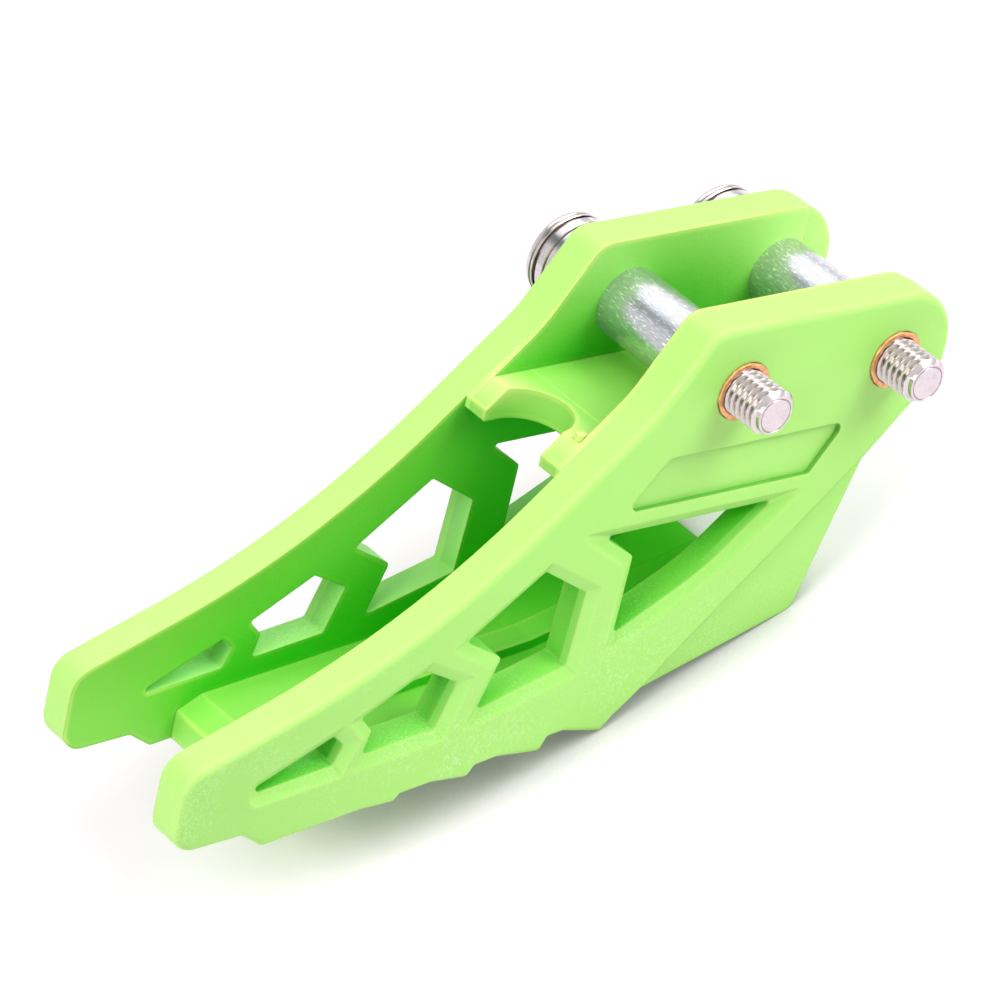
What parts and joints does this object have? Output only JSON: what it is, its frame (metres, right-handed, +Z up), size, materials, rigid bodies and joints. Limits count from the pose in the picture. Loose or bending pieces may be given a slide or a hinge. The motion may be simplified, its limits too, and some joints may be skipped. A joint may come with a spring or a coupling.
{
  "type": "motorcycle chain guide",
  "caption": "Moulded chain guide for a motorcycle swingarm: windowed side plates joined by a floor and a bridge, with steel spacers and cross bolts at the rear.",
  "frame": {"origin": "middle of the length and width, on the ground that the part stands on", "axes": "+X from the nose to the rear, where the bolts are; +Y across, from the thread ends to the bolt heads; +Z up, with the part standing on its rear bump and fins"},
  "size_m": [0.151, 0.0538, 0.0628],
  "materials": {
    "green_plastic": "moulded, satin, lightly frosted on the outer faces",
    "zinc_steel": "zinc plated tube, lightly scratched",
    "bolt_steel": "bright nickel plated",
    "washer_steel": "zinc plated",
    "copper_bush": "bright copper"
  },
  "bodies": {
    "root": {"guide_body": "green_plastic", "front_spacer": "zinc_steel", "front_bolt": "bolt_steel", "front_washer": "washer_steel", "front_bush": "copper_bush", "rear_spacer": "zinc_steel", "rear_bolt": "bolt_steel", "rear_washer": "washer_steel", "rear_bush": "copper_bush"}
  },
  "joints": []
}
